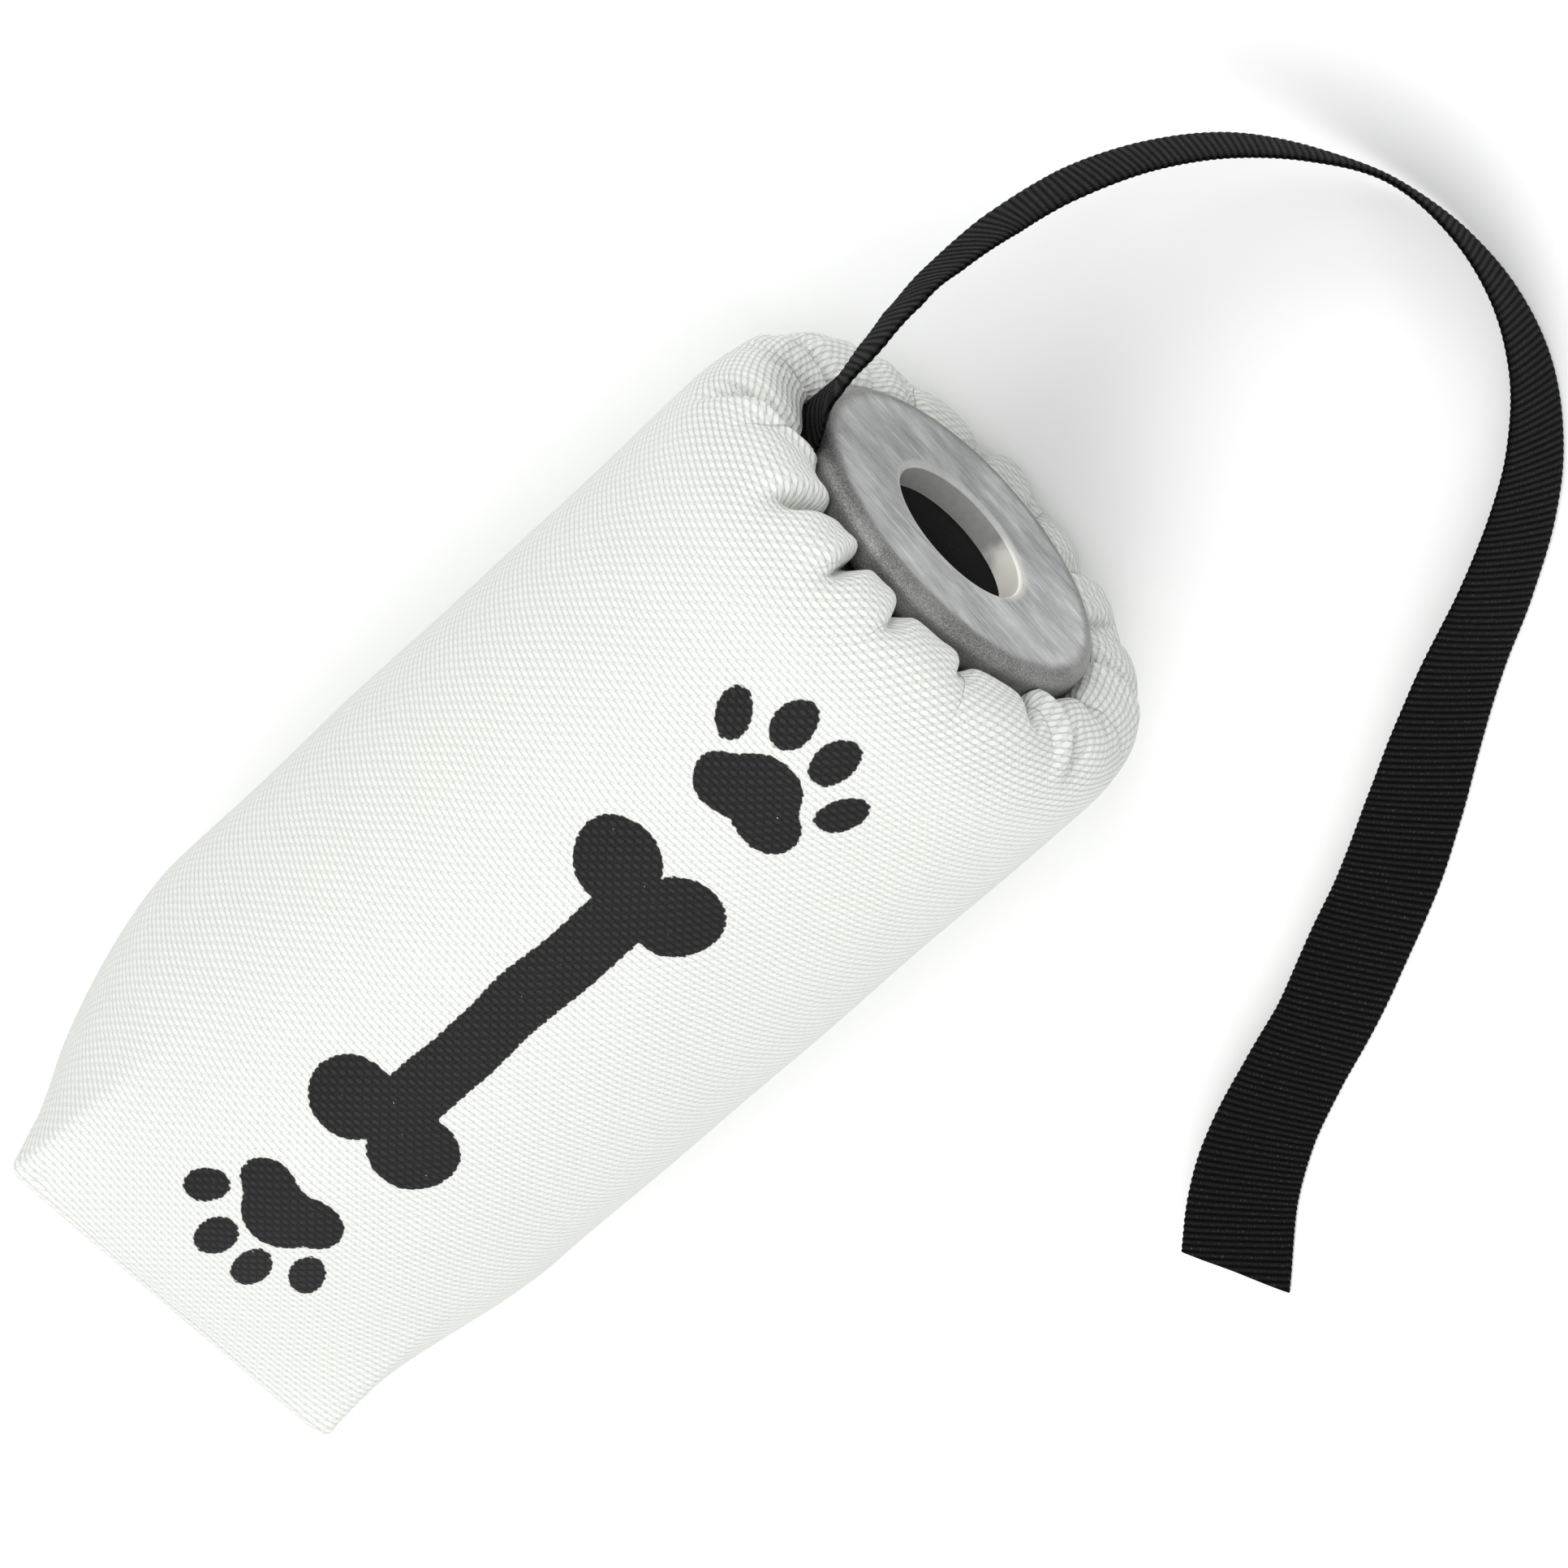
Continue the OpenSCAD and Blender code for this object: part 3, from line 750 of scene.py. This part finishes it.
def mouth_rows(count=62):
    """The mouth's rows: x, radius, distance out from the rim and length from the first."""
    positions = np.linspace(0, len(MOUTH) - 1, 900)
    rows = catmull(MOUTH, positions)
    length = lengths_along(rows)
    contact = length[np.argmin(np.abs(positions - RIM_KNOT))]
    wanted = np.linspace(0, length[-1], 2001)
    density = 0.45 + smooth(0, 8, wanted) * (1 - 0.6 * smooth(contact + 3, contact + 8, wanted))
    at = spaced(np.linspace(0, 1, count), wanted, density)
    x, radius = along_line(at, length, rows).T
    return np.stack([x + FACE_X, radius, contact - at, at], axis=1)


def fold_shape(theta, out):
    """Depth into the roll and sideways shift of the gathered folds, in millimetres.

    out is the distance from the rim outwards over the roll, and negative behind the flange."""
    depth = np.zeros(np.broadcast(theta, out).shape)
    shift = np.zeros_like(depth)
    radius = np.interp(out, [-10, 0, 14, 20], [20, 26, 36, 39])
    for rim, far, reach, deep, wide, lean in FOLDS:
        centre = rim + wrap(far - rim) * smooth(0, reach, out)
        off = np.radians(wrap(theta - centre)) * radius
        hold = (1 - smooth(reach * 0.5, reach, out)) * (0.35 + 0.65 * smooth(-9, 0, out))
        width = wide * (1 + 0.8 * smooth(reach * 0.4, reach, out))
        valley = np.exp(0.35 - np.hypot(off / width, 0.35))
        lip = np.exp(-(((off + lean * 2.2 * width) / (1.7 * width)) ** 2))
        lip *= 1 - 0.75 * smooth(10, 16, out)
        depth += hold * deep * (valley - 0.30 * lip)
        shift += hold * lean * 1.8 * width * (1 - valley) * np.exp(-((off / (2.6 * width)) ** 2))
    return depth, shift


def lobes(theta):
    """Rounded swelling between neighbouring folds, 0 to 1, and the angle at each lobe's middle."""
    rims = np.sort(np.array([fold[0] for fold in FOLDS], float))
    edges = np.concatenate([rims[-1:] - 360, rims, rims[:1] + 360])
    i = np.searchsorted(edges, np.mod(theta, 360)) - 1
    low, high = edges[i], edges[i + 1]
    phase = (np.mod(theta, 360) - low) / (high - low)
    return 1 - np.abs(2 * phase - 1) ** 2.4, (low + high) / 2


def square_radius(theta, sharp=34):
    """Radius of a square of half side 1 with slightly rounded corners, turned as the boxed end is."""
    a = np.radians(theta - BOX_TURN)
    return 1 / (np.abs(np.cos(a)) ** sharp + np.abs(np.sin(a)) ** sharp) ** (1 / sharp)


def corner_tucks(theta, x, radius):
    """Depth of the small tuck beside each corner of the boxed end."""
    depth = 0
    for corner in BOX_CORNERS:
        beside = np.radians(wrap(theta - corner - 4.5)) * radius
        depth = depth + 0.9 * np.exp(-((beside / 1.1) ** 2)) * np.exp(-(((x - END_X) / 5.0) ** 2))
    return depth


def keep_clear(x, r, turn, out):
    """x and radius of the skin, held off the flange's rim and back, the hub and the strap."""
    off_rim, off_back, off_strap, off_anchor = 0.12, 1.75, 0.35, 0.25
    from_strap = np.abs(wrap(np.degrees(turn) - STRAP_ANGLE))
    least = FLANGE_R + off_rim + (STRAP_T + off_strap) * (1 - smooth(17, 21, from_strap))
    near_rim = (x > FLANGE_BACK - 1.2) & (out > -6)
    r = np.where(near_rim, np.maximum(r, least + 0.05 * np.maximum(least - r, 0)), r)
    behind = FLANGE_BACK - off_back
    x = np.where((x > behind) & (r < FLANGE_R), behind, x)
    on_hub = NECK_R + (STRAP_T + off_anchor) * (1 - smooth(24, 33, from_strap))
    return x, np.where(out < -6, np.maximum(r, on_hub), r)


def rest_flat(z):
    """Height above the axis, flattened softly where the body rests."""
    stiff = 1.6
    return np.logaddexp(0, stiff * (z + AXIS_H)) / stiff - AXIS_H


def cover_rows():
    """The skin's rows from the boxed end's middle to the neck.

    Each is x, radius, how square it is, its half side as a square, the distance along the cloth and
    the distance out from the rim."""
    far = 99
    face_halves = np.linspace(0.05, 1, FACE_ROWS - 1) * (BOX_HALF - EDGE_R)
    rows = [(END_X, 0, 1, half, 0, far) for half in face_halves]
    for a in np.radians(np.linspace(0, 90, 8)[1:]):
        half = BOX_HALF - EDGE_R * (1 - math.sin(a))
        rows.append((END_X + EDGE_R * (1 - math.cos(a)), 0, 1, half, EDGE_R * a, far))
    start = END_X + EDGE_R
    along = EDGE_R * math.pi / 2
    for x in np.linspace(start, BOX_START_X, 22)[1:]:
        square = (BOX_START_X - x) / (BOX_START_X - END_X)
        rows.append((x, BODY_R, square**1.6, BOX_HALF, along + x - start, far))
    along += BOX_START_X - start
    for x in np.linspace(BOX_START_X, ROLL_X, 36)[1:-1]:
        rows.append((x, BODY_R, 0, BOX_HALF, along + x - BOX_START_X, 40))
    along += ROLL_X - BOX_START_X
    rows += [(x, radius, 0, BOX_HALF, along + length, out) for x, radius, out, length in mouth_rows()]
    return np.array(rows)


def cover_surface(theta, rows):
    """Points of the cover's outer skin, for angles and rows, as an array of (row, angle, xyz)."""
    theta = np.asarray(theta, float)[None, :]
    x, radius, box, half, along, out = (rows[:, k][:, None] for k in range(6))
    rr = radius * (1 - box) + square_radius(theta) * half * box
    crown = np.where(half < BOX_HALF - 1e-6, 1.3 * (1 - (half / BOX_HALF) ** 2), 0) * (along <= 0)
    x = x - crown
    a = np.radians(theta)
    base = round_axis(x, rr, a, height=0)
    depth, shift = fold_shape(theta, out)
    gathered = (1 - smooth(9, 19, out)) * smooth(-9, -2, out)
    lift = 0.85 * gathered * (lobes(theta)[0] - 0.45)
    soft = 0.30 * waves(base[..., 1], base[..., 2], x, seed=3, finest=16) * smooth(-6, 4, out)
    pull = 0.22 * waves(rr * a, x * 0.25, seed=12, finest=5) * (1 - smooth(14, 34, out)) * smooth(0, 6, out)
    tuck = corner_tucks(theta, x, rr) * (radius > 0)
    base = base + surface_normal(base) * (lift + soft + pull - depth - tuck)[..., None]
    turn = np.arctan2(base[..., 2], base[..., 1]) + shift / np.maximum(rr, 10)
    x, r = keep_clear(base[..., 0], np.hypot(base[..., 1], base[..., 2]), turn, out)
    return np.stack([x, r * np.cos(turn), rest_flat(r * np.sin(turn)) + AXIS_H], axis=-1)


def surface_normal(points):
    """Outward normals of a grid of points, (row, ring, xyz), closed round each ring."""
    across = np.roll(points, -1, axis=1) - np.roll(points, 1, axis=1)
    normal = np.cross(across, np.gradient(points, axis=0))
    return normal / np.maximum(np.linalg.norm(normal, axis=2), 1e-9)[..., None]


def cloth_uv(theta, rows):
    """The cloth's own coordinates: u, less where the mouth gathers it into folds, and v."""
    theta = np.asarray(theta, float)[None, :]
    along, out = (rows[:, k][:, None] for k in (4, 5))
    middle = lobes(theta)[1]
    fullness = (1 - smooth(0, 18, out)) * (1 - 26 / BODY_R)
    u = BODY_R * np.radians(theta - fullness * (theta - middle))
    return np.stack(np.broadcast_arrays(u, along), axis=-1)


def lay_straight(mesh, first_beyond):
    """Lays the weave straight across the boxed end's face, and closes it up where u goes round.

    The face's points come before first_beyond."""
    layer = mesh.uv_layers["cloth"].data
    level, rising = directions_at(math.radians(BOX_TURN))
    around = 2 * math.pi * BODY_R
    for polygon in mesh.polygons:
        corners = [layer[i] for i in polygon.loop_indices]
        u = [corner.uv[0] for corner in corners]
        if max(polygon.vertices) < first_beyond:
            for corner, vertex in zip(corners, polygon.vertices):
                place = np.array(mesh.vertices[vertex].co) / MM - (0, 0, AXIS_H)
                corner.uv = (place @ level, place @ rising)
        elif max(u) - min(u) > around / 2:
            for corner in corners:
                if corner.uv[0] < around / 2:
                    corner.uv[0] += around


def add_cover(material):
    """The padded cover: an outer skin with its folds, and a lining one cloth thickness inside."""
    theta = theta_columns()
    rows = cover_rows()
    skin = cover_surface(theta, rows)
    count = len(theta)
    inner_rows = list(range(len(rows) - 1, 0, -8)) + [0]
    radius = np.hypot(skin[..., 1], skin[..., 2] - AXIS_H)
    bunched = smooth(-10, -14, rows[:, 5])[:, None]
    thick = CLOTH_T + (NECK_OUTER_R - radius - CLOTH_T) * bunched
    inner = (skin - thick[..., None] * surface_normal(skin))[inner_rows]
    points = np.concatenate([skin, inner]).reshape(-1, 3)
    faces = [face[::-1] for face in capped_grid(len(rows) + len(inner_rows), count)]
    uv = np.concatenate([cloth_uv(theta, rows), cloth_uv(theta, rows[inner_rows])]).reshape(-1, 2)
    cover = make_mesh("cloth_cover", points, faces, uv)
    lay_straight(cover.data, FACE_ROWS * count)
    finish_piece(cover, "root", material, "cover_shell")
    return cover


# ---- Seams, hem, cord and foam ----


def on_skin(tree, points):
    """The nearest places on the cover's skin, and its normals there."""
    hits = [tree.find_nearest(Vector(p) * MM) for p in np.asarray(points).reshape(-1, 3)]
    at = np.array([hit[0] for hit in hits]) / MM
    normal = np.array([hit[1] for hit in hits])
    return at.reshape(np.shape(points)), normal.reshape(np.shape(points))


def add_stitch(form, start, end, normal, radius, uv):
    """One stitch: a short thread bowed over the cloth between two needle holes."""
    rings, sides = 7, 6
    side = unit(np.cross(end - start, normal))
    points = []
    for t in np.linspace(0, 1, rings):
        rise = math.sin(math.pi * t)
        centre = start + (end - start) * t + normal * (radius * (1.5 * rise - 0.6))
        size = radius * (0.55 + 0.45 * rise**0.5)
        for a in np.arange(sides) * 2 * math.pi / sides:
            points.append(centre + size * (math.cos(a) * side + math.sin(a) * normal))
    form.add(points, capped_grid(rings, sides), [uv] * len(points))


def add_felled_strip(form, tree, middle, along, wide, length, width, stitch_rows):
    """A folded strip on the cover's skin, with its edges turned under and rows of stitches.

    along and wide are its directions, and stitch_rows the rows' distances from its middle line."""
    count, across = int(length / 0.8) + 1, 15
    s = np.linspace(-length / 2, length / 2, count)[:, None]
    t = np.linspace(-1, 1, across)[None]
    ripple = 0.12 * waves(s + 40 * t, seed=21, finest=4)
    path = middle + s[..., None] * along + (t * (width / 2 + ripple * np.abs(t)))[..., None] * wide
    at, normal = on_skin(tree, path)
    ends = np.minimum(1, (length / 2 - np.abs(s)) / 0.5) ** 0.5
    dip = sum(np.exp(-(((t * width / 2 - row) / 0.45) ** 2)) for row in stitch_rows)
    turned_under = 0.10 * np.exp(-(((np.abs(t) - 0.82) / 0.1) ** 2))
    height = 0.10 + (0.42 * (1 - np.abs(t) ** 8) + turned_under - 0.16 * dip) * ends
    height = height + 0.03 * waves(s, 6 * t, seed=22, finest=3)
    ring = np.concatenate([at + normal * height[..., None], (at - normal * 0.08)[:, ::-1]], axis=1)
    flat = np.concatenate([t, t[:, ::-1]], axis=1) * width / 2
    uv = np.stack(np.broadcast_arrays(flat, s), axis=-1).reshape(-1, 2)
    form.add(ring.reshape(-1, 3), capped_grid(count, across * 2), uv)
    pitch, gap = 2.6, 0.5
    for row in stitch_rows:
        for begin in np.arange(-length / 2 + 1, length / 2 - pitch, pitch):
            holes = middle + np.array([[begin], [begin + pitch - gap]]) * along + row * wide
            at, normal = on_skin(tree, holes)
            start, end = at + normal * 0.42
            add_stitch(form, start, end, normal[0], 0.19, (row, begin))


def add_seams(cover, material):
    """The cover's seams: a wide one along its underside, and three on the boxed end's face."""
    points = [vertex.co for vertex in cover.data.vertices]
    tree = BVHTree.FromPolygons(points, [polygon.vertices for polygon in cover.data.polygons])

    def seam(name, node, *strips):
        form = Form()
        for strip in strips:
            add_felled_strip(form, tree, *strip)
        finish_piece(form.make(name), "root", material, node)

    side_x, side_length, side_width = 11.5, 103, 8
    a = math.radians(300) + side_width / 2 / BODY_R
    under, ahead, round_body = round_axis(side_x, BODY_R, a), np.array([1, 0, 0]), directions_at(a)[1]
    strip = (under, ahead, round_body, side_length, side_width, (-2.6, 2.6))
    seam("side_seam", "cover_side_seam", strip)
    end_length, corner_length, corner_offset, end_width = 44.5, 29.25, 25.25, 4
    level, rising = directions_at(math.radians(BOX_TURN))
    middle = np.array([END_X - 1, 0, AXIS_H])
    seam("end_seam", "cover_end_seam", (middle, rising, level, end_length, end_width, (0.9,)))
    corners = [
        (middle + side * corner_offset * rising, level, rising, corner_length, end_width, (0.9 * side,))
        for side in (-1, 1)
    ]
    seam("corner_seams", "cover_corner_seams", *corners)


def add_ring(form, x, ring_r, radius, count, inside=False):
    """A closed tube round the axis; radius(angle, side angle) is its own, and inside turns it in."""
    sides = 14
    a = np.linspace(0, 2 * math.pi, count, endpoint=False)[:, None]
    b = np.linspace(0, 2 * math.pi, sides, endpoint=False)[None]
    r = radius(a, b)
    out = ring_r + r * np.cos(b)
    ring = round_axis(x + r * np.sin(b), out, a)
    faces = grid_faces(count, sides, looped=True)
    if inside:
        faces = [face[::-1] for face in faces]
    uv = np.stack(np.broadcast_arrays(a * ring_r, b * 1.2), axis=-1).reshape(-1, 2)
    form.add(ring.reshape(-1, 3), faces, uv)


def add_hem_and_cord(hem_material, cord_finish):
    """The gathered hem at the cover's mouth and the braided cord that runs inside it."""
    low, high = box_mm("cover_mouth_hem")
    x = (low[0] + high[0]) / 2
    tube_r = (high[0] - low[0]) / 2
    ring_r = (high[1] - low[1]) / 2 - tube_r
    pleats, lining_r = 47, 0.72

    def gathered(a, b):
        pleat = 0.5 + 0.5 * np.sin(pleats * a + 1.3 * np.sin(5 * a) + 0.8 * np.sin(b))
        return tube_r - 0.16 * (1 - pleat) ** 2 - 0.02

    hem = Form()
    add_ring(hem, x, ring_r, gathered, 1410)
    add_ring(hem, x, ring_r, lambda a, b: lining_r, 180, inside=True)
    finish_piece(hem.make("mouth_hem"), "root", hem_material, "cover_mouth_hem")

    braid = Form()
    strands, turns, count, sides = 4, 46, 1380, 6
    lay_r, strand_r = 0.31, 0.25
    a = np.linspace(0, 2 * math.pi, count, endpoint=False)[:, None]
    for strand in range(strands):
        twist = turns * a + strand * 2 * math.pi / strands
        b = twist + np.arange(sides) * 2 * math.pi / sides
        r = ring_r + lay_r * np.cos(twist) + strand_r * np.cos(b)
        across = x + lay_r * np.sin(twist) + strand_r * np.sin(b)
        points = round_axis(across, r, a).reshape(-1, 3)
        braid.add(points, grid_faces(count, sides, looped=True), np.zeros((len(points), 2)))
    finish_piece(braid.make("drawcord_braid"), "root", cord_finish, "drawcord")


def lathe(name, profile, columns, square=False, bump=0.16, floor=None, seed=40):
    """A closed foam form: its profile of (x, radius) turned round the axis, a little uneven.

    square makes it square, turned as the boxed end is; floor is how high its underside is flattened."""
    side = np.asarray(profile, float)
    step = 1.6
    rows = []
    for a, b in zip(side, np.roll(side, -1, axis=0)):
        pieces = max(1, int(np.linalg.norm(b - a) / step))
        rows.extend(a + (b - a) * k / pieces for k in range(pieces))
    rows = np.array(rows)
    a = np.linspace(0, 2 * math.pi, columns, endpoint=False)[None]
    r = rows[:, 1:] * (square_radius(np.degrees(a)) if square else 1)
    points = round_axis(rows[:, :1], r, a, height=0)
    uneven = waves(points[..., 0], points[..., 1], points[..., 2], seed=seed, finest=5) * bump
    points[..., 0] += uneven
    scale = 1 - np.abs(uneven) / np.maximum(np.hypot(points[..., 1], points[..., 2]), 5)
    points[..., 1:] *= scale[..., None]
    if floor is not None:
        points[..., 2] = np.maximum(points[..., 2], floor - AXIS_H)
    points[..., 2] += AXIS_H
    return make_mesh(name, points.reshape(-1, 3), grid_faces(len(rows), columns, looped=True))


def add_foam(soft, firm):
    """The sleeve on the tube, the soft wrap round it and the pad in the boxed end."""

    def foam(node, piece, material):
        finish_piece(piece, "root", material, node)

    (rear, _, _), (front, _, _) = box_mm("foam_sleeve")
    sleeve_r, bore_r, gap, edge = 25.3, 13.8, 0.2, 0.8
    profile = [(rear + gap, bore_r + edge), (rear + gap, sleeve_r - 0.7), (rear + edge, sleeve_r),
               (front - edge, sleeve_r), (front - gap, sleeve_r - 0.7), (front - gap, bore_r + edge),
               (front - edge, bore_r), (rear + edge, bore_r)]
    foam("foam_sleeve", lathe("foam_sleeve_cut", profile, 160, bump=0.10), firm)

    rear = box_mm("foam_wrap")[0][0]
    tail = [(rear + 0.4, 26.2), (rear + 0.4, 35.6), (rear + 1.6, 36.7)]
    nose = [(-20, 36.7), (-15, 36.4), (-11.5, 35.4), (-9.2, 33.6), (-8.8, 31.6), (-9.6, 29.4), (-12, 27.9),
            (-17.5, 27.8), (-18.8, 26.0)]
    profile = tail + [(FACE_X + x, r) for x, r in nose]
    round_foam = lathe("foam_wrap_soft", profile, 220, floor=1.25, seed=41)
    foam("foam_wrap", round_foam, soft)

    (rear, _, _), (front, _, _) = box_mm("foam_end_pad")
    half, edge = 26.0, 1.8
    profile = [(rear + 0.3, 0.8), (rear + 0.3, half - edge), (rear + edge, half),
               (front - edge, half), (front - 0.3, half - edge), (front - 0.3, 0.8)]
    pad = lathe("foam_end_block", profile, 200, square=True, seed=42)
    foam("foam_end_pad", pad, soft)


# ---- Stage ----


def add_stage():
    """A pale floor and soft studio light, brightest from the boxed end's side."""
    g = Graph("floor_white")
    tone = g.noise(g.place(), 3.0)
    floor_material = g.finish(Base_Color=g.mix(tone, grey(0.86), grey(0.88)), Roughness=0.9)
    half = 4000
    corners = [(-half, -half, 0), (half, -half, 0), (half, half, 0), (-half, half, 0)]
    floor = make_mesh("floor", corners, [(0, 1, 2, 3)])
    floor.data.materials.append(floor_material)
    # each light's name, place and size in metres, and power in watts
    lights = [
        ("key", (-0.75, -0.55, 1.25), 1.4, 11.5),
        ("top", (0.15, 0.25, 1.5), 1.2, 6.5),
        ("front", (0.95, 0.85, 0.85), 0.6, 5.5),
        ("edge", (0.75, -0.80, 0.90), 0.3, 1.6),
    ]
    for name, place, size, power in lights:
        light = bpy.data.lights.new(name, "AREA")
        light.energy = power
        light.size = size
        light.color = (1.0, 0.995, 0.975)
        lamp = bpy.data.objects.new(name, light)
        lamp.location = place
        lamp.rotation_euler = (-Vector(place)).to_track_quat("-Z", "Y").to_euler()
        bpy.context.scene.collection.objects.link(lamp)
    world = bpy.data.worlds.new("studio")
    world.use_nodes = True
    background = world.node_tree.nodes["Background"]
    background.inputs["Color"].default_value = (0.975, 0.995, 1.0, 1)
    background.inputs["Strength"].default_value = 0.78
    bpy.context.scene.world = world
    bpy.context.scene.view_settings.view_transform = "Standard"


# ---- The object ----

add_camera()
webbing = webbing_material()
add_strap(webbing)
add_strap_anchor(webbing)
cover = add_cover(cloth_material("cover_cloth", 0.715, bone_and_paws))
binding = cloth_material("cover_binding", 0.69)
add_seams(cover, binding)
add_hem_and_cord(binding, cord_material())
soft_foam = foam_material("soft_foam", 0.62, (1.0, 0.98, 0.90), 0.9)
firm_foam = foam_material("firm_foam", 0.36, (0.98, 1.0, 1.02), 0.5)
add_foam(soft_foam, firm_foam)
paint(flange_material(), "end_flange")
paint(tube_material(), "launch_tube")
paint(steel_material("plug_metal", 0.55, 0.42), "tube_plug")
paint(steel_material("steel_hardware", 0.62), "hub_set_screws", "plug_pin", "end_washer", "end_bolt",
      "neck_washer", "clamp_band", "clamp_screw_housing", "clamp_screw")
add_stage()
